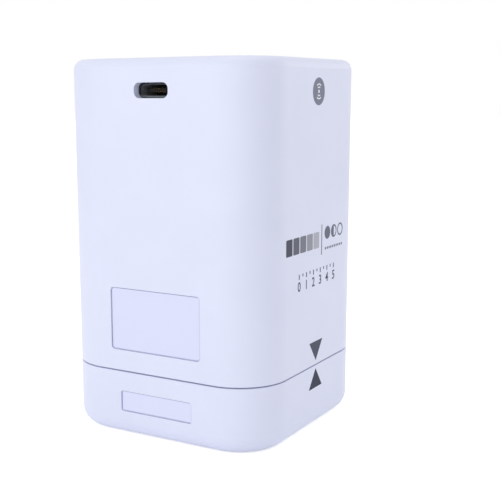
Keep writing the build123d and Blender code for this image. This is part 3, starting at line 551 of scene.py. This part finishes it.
def thicken(height):
    """Extrudes the open flat mesh upwards into a film and turns its faces outwards."""
    bpy.ops.mesh.select_all(action="SELECT")
    bpy.ops.mesh.extrude_region_move(TRANSFORM_OT_translate={"value": (0, 0, height)})
    bpy.ops.mesh.select_all(action="SELECT")
    bpy.ops.mesh.normals_make_consistent(inside=False)
    leave_edit()


def lay(obj, place, on_side):
    """Lays a finished film on the marked side face or on a level face, and applies its place."""
    bpy.ops.object.select_all(action="DESELECT")
    obj.select_set(True)
    bpy.context.view_layer.objects.active = obj
    obj.rotation_euler = (pi / 2, 0, pi / 2) if on_side else (0, 0, 0)
    obj.location = place
    bpy.ops.object.transform_apply(location=True, rotation=True, scale=True)


def finish_piece(obj, material, body):
    """Gives a piece its material and its CAD body."""
    obj.data.materials.clear()
    obj.data.materials.append(MATERIALS[material])
    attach(obj, body)


def print_mark(obj, ink, place, body="instrument"):
    """Turns the open flat mesh into a film of ink on the marked side face."""
    thicken(bpy.context.scene.mark_sizes.film)
    lay(obj, place, on_side=True)
    finish_piece(obj, ink, body)


def print_legend(obj, key, body):
    """Turns the open flat mesh into a film of white ink in the middle of a key's top."""
    low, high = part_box(key)
    thicken(bpy.context.scene.mark_sizes.film)
    lay(obj, ((low[0] + high[0]) / 2, (low[1] + high[1]) / 2, high[2]), on_side=False)
    finish_piece(obj, "pad_printed_ink_white", body)


def on_side_face(along_mm, up_mm, lift=0.0):
    """A place on the marked side face, in millimetres along the casing and up from its foot."""
    return (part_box("body_shell")[1][0] + lift, along_mm * MM, up_mm * MM)


# Operators for the finishes


class INSTRUMENT_OT_casing_finish(bpy.types.Operator):
    """Finishes the casing, the cap, the trays and the blank labels"""

    bl_idname = "instrument.casing_finish"
    bl_label = "Casing finish"

    def execute(self, context):
        colours = context.scene.instrument_colours
        moulded_plastic("moulded_abs_white", colours.casing)
        moulded_plastic("moulded_abs_grey", colours.tray, rough=0.48)
        # Each label's second colour is painted shade along its edge, standing in for the recess's shadow
        vinyl_film("vinyl_film_body", "#DEE2FC", "#9C9FBC", "body_label", 0.75)
        vinyl_film("vinyl_film_cap", "#E0E4FD", "#A9ACC6", "cap_label", 0.35)
        dress("moulded_abs_white", "body_shell", "cap_shell")
        dress("moulded_abs_grey", "tile_tray", "base_plate", "battery_tray")
        dress("vinyl_film_body", "body_label")
        dress("vinyl_film_cap", "cap_label")
        return {"FINISHED"}


class INSTRUMENT_OT_reference_finish(bpy.types.Operator):
    """Finishes the white tile, its ring and pad, the aperture ring and the magnets"""

    bl_idname = "instrument.reference_finish"
    bl_label = "Tile and aperture finish"

    def execute(self, context):
        glazed_ceramic("glazed_ceramic_tile", "#F4F4F0")
        cellular_foam("closed_cell_foam", "#1B1B1E")
        moulded_plastic("moulded_acetal_black", "#17181B", rough=0.34, grain_mm=0.2, ior=1.48)
        plated_metal("nickel_plate", "#C9C5BC", 0.2)
        # The rim colour is partly painted shade, and the lip colour is a painted highlight
        stamped_shell("dark_nickel_shell", "#3E4148", "#888C94", "#DADCE0", "charging_socket")
        dress("glazed_ceramic_tile", "white_tile")
        dress("closed_cell_foam", "tile_pad", "light_seal")
        dress("moulded_acetal_black", "tile_ring", "aperture_ring", "display_holder")
        dress("nickel_plate", "cap_magnets", "body_magnets", "radio_shield")
        dress("dark_nickel_shell", "charging_socket")
        return {"FINISHED"}


class INSTRUMENT_OT_optics_finish(bpy.types.Operator):
    """Finishes the integrating sphere, the lamps and the viewing optics"""

    bl_idname = "instrument.optics_finish"
    bl_label = "Optics finish"

    def execute(self, context):
        diffuse_coating("barium_sulphate_coating", "#F7F7F5")
        anodised_aluminium("anodised_aluminium_black", "#26272B")
        optical_glass("coated_lens_glass")
        led_silicone("phosphor_silicone", "#E9D46A")
        dress("barium_sulphate_coating", "sphere_lower", "sphere_upper")
        dress("anodised_aluminium_black", "lens_barrel", "lens_spacer", "field_stop")
        dress("coated_lens_glass", "collecting_lens")
        dress("phosphor_silicone", "leds")
        return {"FINISHED"}


class INSTRUMENT_OT_board_finish(bpy.types.Operator):
    """Finishes the circuit boards, their parts, the ribbons and the standoffs"""

    bl_idname = "instrument.board_finish"
    bl_label = "Board finish"

    def execute(self, context):
        solder_mask("solder_mask_green", "#0F4A2C", "#1E6B42")
        solder_mask("solder_mask_white", "#E9E9E6", "#D9D8D0")
        moulded_epoxy("moulded_epoxy_black", "#1C1C1F")
        moulded_plastic("moulded_nylon_ivory", "#E2DCCB", rough=0.5)
        moulded_plastic("moulded_nylon_red", "#B5382C", rough=0.45)
        moulded_plastic("moulded_lcp_black", "#18181B", rough=0.65, grain_mm=0.15, gloss=0.18)
        plated_metal("black_oxide_steel", "#2A2A2D", 0.4)
        turned_metal("turned_brass", "#C9A45A", 0.28)
        polyimide_ribbon("polyimide_ribbon", "#C98A2E", "#A8691C")
        plated_metal("zinc_plated_steel", "#B9BCC2", 0.3)
        dress("solder_mask_green", "main_board", "sensor_board")
        dress("solder_mask_white", "led_ring_board")
        dress("moulded_epoxy_black", "board_chips", "spectral_sensor")
        dress("moulded_lcp_black", "socket_tongue")
        dress("moulded_nylon_ivory", "ribbon_sockets", "battery_plug", "battery_socket")
        dress("moulded_nylon_red", "measure_plunger", "power_plunger")
        dress("black_oxide_steel", "key_switches")
        dress("turned_brass", "board_standoffs")
        dress("polyimide_ribbon", "sensor_ribbon", "led_ribbon", "display_ribbon")
        dress("zinc_plated_steel", "tray_screws", "base_screws", "led_screws", "sensor_screws", "board_screws")
        return {"FINISHED"}


class INSTRUMENT_OT_display_finish(bpy.types.Operator):
    """Finishes the display stack and the keys"""

    bl_idname = "instrument.display_finish"
    bl_label = "Display and key finish"

    def execute(self, context):
        colours = context.scene.instrument_colours
        display_glass("black_backed_glass")
        moulded_epoxy("adhesive_film_black", "#141416")
        moulded_plastic("moulded_abs_key", colours.keys, rough=0.4, grain_mm=0.25)
        dress("black_backed_glass", "display_window", "display_panel")
        dress("adhesive_film_black", "window_adhesive")
        dress("moulded_abs_key", "measure_key", "power_key")
        return {"FINISHED"}


class INSTRUMENT_OT_battery_finish(bpy.types.Operator):
    """Finishes the battery and its lead"""

    bl_idname = "instrument.battery_finish"
    bl_label = "Battery finish"

    def execute(self, context):
        laminated_pouch("laminated_pouch", "#B8BBC2")
        moulded_plastic("silicone_insulation_red", "#9E1F1B", rough=0.5, ior=1.41)
        dress("laminated_pouch", "battery_cell")
        dress("silicone_insulation_red", "battery_lead")
        return {"FINISHED"}


# Operators for the printed marks and contacts

# Where the marks sit on the side face, in millimetres along the casing and up from its foot
UPPER_TRIANGLE = (0, 22.35)
LOWER_TRIANGLE = (0, 10.6)
RADIO_MARK = (-0.25, 82.3)
WEDGE = (0, 47.2)
DIVIDER = (2.5, 47.0)
TONE_DISCS = (("tone_disc_full", 5.7), ("tone_disc_half", 9.4), ("tone_disc_open", 13.1))
TONE_DISCS_UP = 48.4
TONE_DOTS = (9.4, 44.6)
TICK_SCALE = (0, 37.8)


class INSTRUMENT_OT_alignment_marks(bpy.types.Operator):
    """Prints the two triangles that show how the instrument sits on its cap"""

    bl_idname = "instrument.alignment_marks"
    bl_label = "Alignment marks"

    def execute(self, context):
        sizes = context.scene.mark_sizes
        colours = context.scene.instrument_colours
        pad_ink("pad_printed_ink_dark", colours.ink)
        pad_ink("pad_printed_ink_cap", colours.cap_ink)
        height, width = sizes.triangle_height, sizes.triangle_width
        even_height = width * sqrt(3) / 2
        marks = (
            ("alignment_mark_instrument", -1, UPPER_TRIANGLE, "instrument", "pad_printed_ink_dark"),
            ("alignment_mark_cap", 1, LOWER_TRIANGLE, "cap", "pad_printed_ink_cap"),
        )
        for name, up, spot, body, ink in marks:
            mark = flat_disc(name, width / sqrt(3), sides=3)
            bpy.ops.transform.resize(value=(1, up * height / even_height, 1), center_override=(0, 0, 0))
            bpy.ops.transform.translate(value=(0, up * height / 3, 0))
            bpy.ops.mesh.select_all(action="SELECT")
            bpy.ops.mesh.bevel(offset=0.12 * MM, segments=3, affect="VERTICES")
            print_mark(mark, ink, on_side_face(*spot), body)
        return {"FINISHED"}


class INSTRUMENT_OT_radio_mark(bpy.types.Operator):
    """Prints the grey disc with its pale dot and waves near the top of the side face"""

    bl_idname = "instrument.radio_mark"
    bl_label = "Radio mark"

    def execute(self, context):
        sizes = context.scene.mark_sizes
        pad_ink("pad_printed_ink_disc", context.scene.instrument_colours.disc)
        pad_ink("pad_printed_ink_white", "#F0F1F8")
        disc = flat_disc("radio_disc", sizes.disc_radius)
        bpy.ops.mesh.select_all(action="SELECT")
        bpy.ops.mesh.inset(thickness=sizes.film)
        print_mark(disc, "pad_printed_ink_disc", on_side_face(*RADIO_MARK))
        line = 0.3 * MM
        parts = [flat_disc("radio_dot", 0.42 * MM, sides=32)]
        for radius in (1.15 * MM, 1.85 * MM):
            for middle in (pi / 2, -pi / 2):
                parts.append(flat_arc("radio_wave", radius, line, middle, radians(42)))
        print_mark(
            joined("radio_waves", parts), "pad_printed_ink_white", on_side_face(*RADIO_MARK, lift=sizes.film)
        )
        return {"FINISHED"}


class INSTRUMENT_OT_grey_wedge(bpy.types.Operator):
    """Prints a stepped grey wedge and its divider across the side face"""

    bl_idname = "instrument.grey_wedge"
    bl_label = "Grey wedge"

    def execute(self, context):
        step = context.scene.mark_sizes.wedge_step
        pitch = step - 0.35 * MM
        gap = 0.45 * MM
        left_end = -16.5 * MM
        tones = ("#4E505E", "#666876", "#80828F", "#9C9EA9", "#B8BAC4")
        # The colour steps run a hair wider than the plates, so that each change of tone falls in a gap
        graded_ink("pad_printed_ink_graded", left_end / MM - 0.2, pitch / MM + 0.02, tones)
        wedge = flat_plate("grey_wedge", pitch - gap, step, 0.3 * MM, (left_end + pitch / 2, 0))
        repeat(len(tones) - 1, pitch)
        print_mark(wedge, "pad_printed_ink_graded", on_side_face(*WEDGE))
        divider = flat_plate("wedge_divider", 0.32 * MM, 7.4 * MM, 0.12 * MM)
        print_mark(divider, "pad_printed_ink_dark", on_side_face(*DIVIDER))
        return {"FINISHED"}


class INSTRUMENT_OT_tone_discs(bpy.types.Operator):
    """Prints a full, a half and an open disc beside the wedge, over a row of dots"""

    bl_idname = "instrument.tone_discs"
    bl_label = "Tone discs"

    def execute(self, context):
        radius = context.scene.mark_sizes.tone_radius
        pad_ink("pad_printed_ink_pale", context.scene.instrument_colours.pale_ink)
        line = 0.4 * MM
        for name, along in TONE_DISCS:
            parts = [flat_ring("tone_rim", radius, line)]
            if name != "tone_disc_open":
                parts.append(flat_disc("tone_fill", radius - line))
            if name == "tone_disc_half":
                bpy.ops.mesh.select_all(action="SELECT")
                bpy.ops.mesh.bisect(plane_co=(0, 0, 0), plane_no=(1, 0, 0), clear_outer=True)
            disc = joined(name, parts)
            bpy.ops.mesh.remove_doubles(threshold=0.002 * MM)
            print_mark(disc, "pad_printed_ink_pale", on_side_face(along, TONE_DISCS_UP))
        count, pitch = 10, 1.05 * MM
        dots = flat_disc("tone_dots", 0.34 * MM, sides=16)
        bpy.ops.transform.translate(value=((1 - count) / 2 * pitch, 0, 0))
        repeat(count - 1, pitch)
        print_mark(dots, "pad_printed_ink_pale", on_side_face(*TONE_DOTS))
        return {"FINISHED"}


class INSTRUMENT_OT_tick_scale(bpy.types.Operator):
    """Prints a small plain scale, numbered from nought to five, under the wedge"""

    bl_idname = "instrument.tick_scale"
    bl_label = "Tick scale"

    def execute(self, context):
        height = context.scene.mark_sizes.numeral
        last, pitch = 5, 3.8 * MM
        left, top, foot = -last / 2 * pitch, 2.5 * MM, -1.5 * MM
        width, corner = 0.42 * MM, 0.08 * MM
        parts = []
        for tall, first, count in ((1.2 * MM, left, last + 1), (0.7 * MM, left + pitch / 2, last)):
            parts.append(flat_plate("ticks", width, tall, corner, (first, top - tall / 2)))
            repeat(count - 1, pitch)
        for number in range(last + 1):
            parts.append(flat_numeral(number, height, (left + number * pitch, foot)))
        print_mark(joined("tick_scale", parts), "pad_printed_ink_dark", on_side_face(*TICK_SCALE))
        return {"FINISHED"}


class INSTRUMENT_OT_key_legends(bpy.types.Operator):
    """Prints a target on the measuring key and the on-off sign on the power key, upright from the +Y side"""

    bl_idname = "instrument.key_legends"
    bl_label = "Key legends"

    def execute(self, context):
        line = 0.3 * MM
        parts = [flat_ring("target_ring", 1.7 * MM, line), flat_disc("target_dot", 0.5 * MM, sides=32)]
        print_legend(joined("measure_legend", parts), "measure_key", "measure_button")
        radius = 1.5 * MM
        parts = [
            flat_arc("power_arc", radius, line, pi / 2, radians(136)),
            flat_plate("power_bar", line, radius, 0.1 * MM, (0, -0.95 * MM)),
        ]
        print_legend(joined("power_legend", parts), "power_key", "power_button")
        return {"FINISHED"}


class INSTRUMENT_OT_socket_contacts(bpy.types.Operator):
    """Lays the two rows of gold contacts on the socket's tongue"""

    bl_idname = "instrument.socket_contacts"
    bl_label = "Socket contacts"

    def execute(self, context):
        plated_metal("gold_plate", "#D8A93C", 0.22)
        low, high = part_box("socket_tongue")
        middle_x, middle_z = (low[0] + high[0]) / 2, (low[2] + high[2]) / 2
        middle_y = low[1] + 2.9 * MM
        count, pitch = 12, 0.5 * MM
        width, length, thickness = 0.26 * MM, 3.0 * MM, 0.03 * MM
        upper = flat_plate("socket_contacts_upper", width, length, 0.05 * MM, ((1 - count) / 2 * pitch, 0))
        repeat(count - 1, pitch)
        thicken(thickness)
        lower = duplicate(upper, "socket_contacts_lower")
        half = 0.35 * MM
        for row, rise in ((upper, half), (lower, -half - thickness)):
            lay(row, (middle_x, middle_y, middle_z + rise), on_side=False)
            finish_piece(row, "gold_plate", "instrument")
        return {"FINISHED"}


# The studio. Angles are in degrees, and places in millimetres

CAMERA_AZIMUTH = 31.16
CAMERA_ELEVATION = 10.15
CAMERA_ROLL = -0.25
CAMERA_DISTANCE = 251.48
CAMERA_TARGET = (0.0, 0.0, 37.9)
CAMERA_LENS = 70.73
CAMERA_SHIFT = (0.0669, 0.0361)
FLOOR_SIZE = 6  # metres
FLOOR_GLOW = 0.55  # added where the camera sees the floor, so that it comes out white


LAMPS = (
    ("left", (-160, -420, 170), 220),
    ("middle", (120, -430, 150), 220),
    ("right", (230, 260, 120), 160),
    ("back", (170, 330, 200), 160),
    ("top", (0, 40, 480), 300),
)
LAMP_TARGET = (0, 0, 45)


def area_lamp(name, location, size, power):
    """A square soft white lamp that points at the middle of the object. Lengths are in millimetres."""
    bpy.ops.object.light_add(type="AREA", location=Vector(location) * MM)
    lamp = bpy.context.object
    lamp.name = name
    lamp.data.size = size * MM
    lamp.data.energy = power
    direction = (Vector(LAMP_TARGET) - Vector(location)).normalized()
    lamp.rotation_euler = direction.to_track_quat("-Z", "Y").to_euler()


def seen_directly(tree):
    """One where a surface is seen by the camera, or in a reflection or through glass, and otherwise nothing."""
    path = add_node(tree, "ShaderNodeLightPath")
    seen = path.outputs["Is Camera Ray"]
    for other in ("Is Glossy Ray", "Is Transmission Ray"):
        seen = add_node(tree, "ShaderNodeMath", {"operation": "MAXIMUM"}, i0=seen, i1=path.outputs[other])
    return seen


class INSTRUMENT_OT_stage(bpy.types.Operator):
    """Sets up the white floor, the lamps and the camera at the photograph's angle"""

    bl_idname = "instrument.stage"
    bl_label = "Studio"

    def execute(self, context):
        levels = context.scene.studio_levels
        scene = context.scene
        scene.view_settings.view_transform = "Standard"

        floor = start(bpy.ops.mesh.primitive_plane_add, "studio_floor", size=FLOOR_SIZE)
        bpy.ops.mesh.subdivide(number_cuts=2)
        leave_edit()
        tree, place, shader = begin("white_paper_sweep", IOR=1.45)
        paper = add_node(tree, "ShaderNodeTexNoise", Vector=place, Scale=per_mm(2), Detail=3.0)
        stops = [(0.35, "#F4F4F6"), (0.65, "#F8F8FA")]
        from_patterns(tree, shader, paper, stops, paper, (0.88, 0.92), 0.01)
        glow = add_node(
            tree, "ShaderNodeEmission", Color=(FLOOR_GLOW, FLOOR_GLOW, FLOOR_GLOW, 1), Strength=seen_directly(tree)
        )
        added = add_node(tree, "ShaderNodeAddShader", i0=shader, i1=glow)
        tree.links.new(added.outputs[0], tree.nodes["Material Output"].inputs["Surface"])
        floor.data.materials.append(MATERIALS["white_paper_sweep"])

        world = bpy.data.worlds.new("studio_world")
        scene.world = world
        world.use_nodes = True
        tree = world.node_tree
        tree.nodes.clear()
        level = add_node(
            tree, "ShaderNodeMapRange", Value=seen_directly(tree), To_Min=levels.world, To_Max=1.0
        )
        light = add_node(tree, "ShaderNodeBackground", Color=linear("#FFFFFF"), Strength=level)
        add_node(tree, "ShaderNodeOutputWorld", Surface=light)

        for name, location, size in LAMPS:
            area_lamp("lamp_" + name, location, size, getattr(levels, name))

        camera_data = bpy.data.cameras.new("camera")
        camera = bpy.data.objects.new("camera", camera_data)
        scene.collection.objects.link(camera)
        scene.camera = camera
        camera_data.sensor_width = 36
        camera_data.lens = CAMERA_LENS
        camera_data.shift_x, camera_data.shift_y = CAMERA_SHIFT
        camera_data.clip_start, camera_data.clip_end = 0.01, 20
        turn, rise = radians(CAMERA_AZIMUTH), radians(CAMERA_ELEVATION)
        back = Vector((sin(turn) * cos(rise), -cos(turn) * cos(rise), sin(rise)))
        camera.location = (Vector(CAMERA_TARGET) + back * CAMERA_DISTANCE) * MM
        aim = (-back).to_track_quat("-Z", "Y").to_matrix().to_4x4()
        camera.rotation_euler = (aim @ Matrix.Rotation(radians(CAMERA_ROLL), 4, "Z")).to_euler()
        return {"FINISHED"}


class INSTRUMENT_PT_panel(bpy.types.Panel):
    """Lists the instrument's finishes, marks and studio"""

    bl_label = "Instrument"
    bl_idname = "INSTRUMENT_PT_panel"
    bl_space_type = "VIEW_3D"
    bl_region_type = "UI"
    bl_category = "Instrument"

    def draw(self, context):
        for group in ("instrument_colours", "mark_sizes", "studio_levels"):
            settings = getattr(context.scene, group)
            column = self.layout.column()
            for field in settings.bl_rna.properties.keys():
                if field not in {"rna_type", "name"}:
                    column.prop(settings, field)
        for operator in OPERATORS:
            self.layout.operator(operator.bl_idname)


OPERATORS = (
    INSTRUMENT_OT_casing_finish,
    INSTRUMENT_OT_reference_finish,
    INSTRUMENT_OT_optics_finish,
    INSTRUMENT_OT_board_finish,
    INSTRUMENT_OT_display_finish,
    INSTRUMENT_OT_battery_finish,
    INSTRUMENT_OT_alignment_marks,
    INSTRUMENT_OT_radio_mark,
    INSTRUMENT_OT_grey_wedge,
    INSTRUMENT_OT_tone_discs,
    INSTRUMENT_OT_tick_scale,
    INSTRUMENT_OT_key_legends,
    INSTRUMENT_OT_socket_contacts,
    INSTRUMENT_OT_stage,
)
GROUPS = (
    ("instrument_colours", InstrumentColours),
    ("mark_sizes", MarkSizes),
    ("studio_levels", StudioLevels),
)


def register():
    for name, group in GROUPS:
        bpy.utils.register_class(group)
        setattr(bpy.types.Scene, name, bpy.props.PointerProperty(type=group))
    for operator in OPERATORS:
        bpy.utils.register_class(operator)
    bpy.utils.register_class(INSTRUMENT_PT_panel)


def unregister():
    bpy.utils.unregister_class(INSTRUMENT_PT_panel)
    for operator in reversed(OPERATORS):
        bpy.utils.unregister_class(operator)
    for name, group in reversed(GROUPS):
        delattr(bpy.types.Scene, name)
        bpy.utils.unregister_class(group)


def main():
    register()
    bpy.ops.instrument.casing_finish()
    bpy.ops.instrument.reference_finish()
    bpy.ops.instrument.optics_finish()
    bpy.ops.instrument.board_finish()
    bpy.ops.instrument.display_finish()
    bpy.ops.instrument.battery_finish()
    bpy.ops.instrument.alignment_marks()
    bpy.ops.instrument.radio_mark()
    bpy.ops.instrument.grey_wedge()
    bpy.ops.instrument.tone_discs()
    bpy.ops.instrument.tick_scale()
    bpy.ops.instrument.key_legends()
    bpy.ops.instrument.socket_contacts()
    bpy.ops.instrument.stage()


if __name__ == "__main__":
    main()
